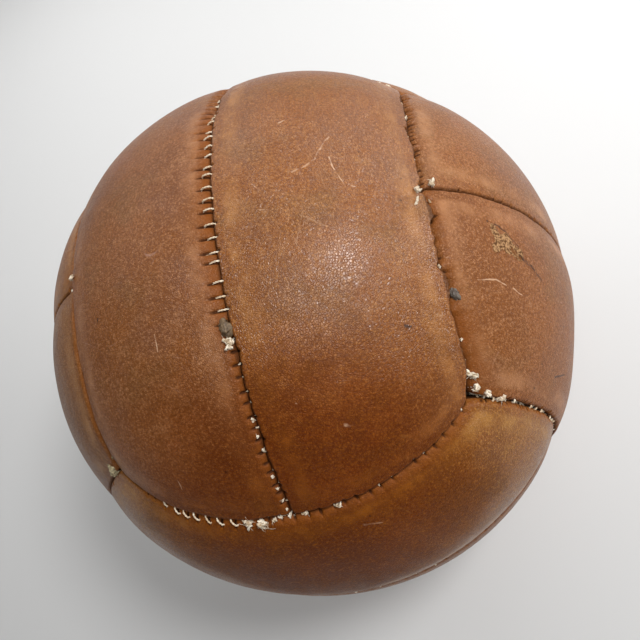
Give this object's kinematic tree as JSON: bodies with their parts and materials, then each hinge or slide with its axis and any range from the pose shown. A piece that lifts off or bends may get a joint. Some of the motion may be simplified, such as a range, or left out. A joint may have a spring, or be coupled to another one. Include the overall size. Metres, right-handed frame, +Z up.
{
  "type": "leather medicine ball",
  "caption": "Round stuffed leather medicine ball sewn by hand from strips with turned-in edges, over a canvas lining and a tied rag core.",
  "frame": {"origin": "middle of the flat patch that the ball rests on, straight below the ball's centre", "axes": "+Z up through the ball's centre and the middle of the top face, whose two strips run along Y; +X towards the right face, whose strips run along Z; -Y towards the front face, whose strips run along X"},
  "size_m": [0.24, 0.24, 0.2365],
  "materials": {
    "leather": "worn, satin, fine grain",
    "canvas": "plain weave, matt",
    "thread": "waxed linen cord, frayed",
    "wax": "dull, dirty wax over thread",
    "hair": "felted hair, matt",
    "rags": "wound rag, matt"
  },
  "bodies": {
    "root": {"top_strip_right": "leather", "top_strip_left": "leather", "bottom_strip_right": "leather", "bottom_strip_left": "leather", "right_strip_back": "leather", "right_strip_front": "leather", "left_strip_back": "leather", "left_strip_front": "leather", "back_strip_upper": "leather", "back_strip_lower": "leather", "front_strip_upper": "leather", "front_strip_lower": "leather", "top_lining_right": "canvas", "top_lining_left": "canvas", "bottom_lining_right": "canvas", "bottom_lining_left": "canvas", "right_lining_back": "canvas", "right_lining_front": "canvas", "left_lining_back": "canvas", "left_lining_front": "canvas", "back_lining_upper": "canvas", "back_lining_lower": "canvas", "front_lining_upper": "canvas", "front_lining_lower": "canvas", "top_back_seam_thread": "thread", "top_front_seam_thread": "thread", "bottom_back_seam_thread": "thread", "bottom_front_seam_thread": "thread", "right_top_seam_thread": "thread", "right_bottom_seam_thread": "thread", "left_top_seam_thread": "thread", "left_bottom_seam_thread": "thread", "back_right_seam_thread": "thread", "back_left_seam_thread": "thread", "front_right_seam_thread": "thread", "front_left_seam_thread": "thread", "top_middle_seam_thread": "thread", "bottom_middle_seam_thread": "thread", "right_middle_seam_thread": "thread", "left_middle_seam_thread": "thread", "back_middle_seam_thread": "thread", "front_middle_seam_thread": "thread", "stuffing": "hair", "rag_core": "rags", "wax_plugs": "wax", "seam_knots": "thread"}
  },
  "joints": []
}
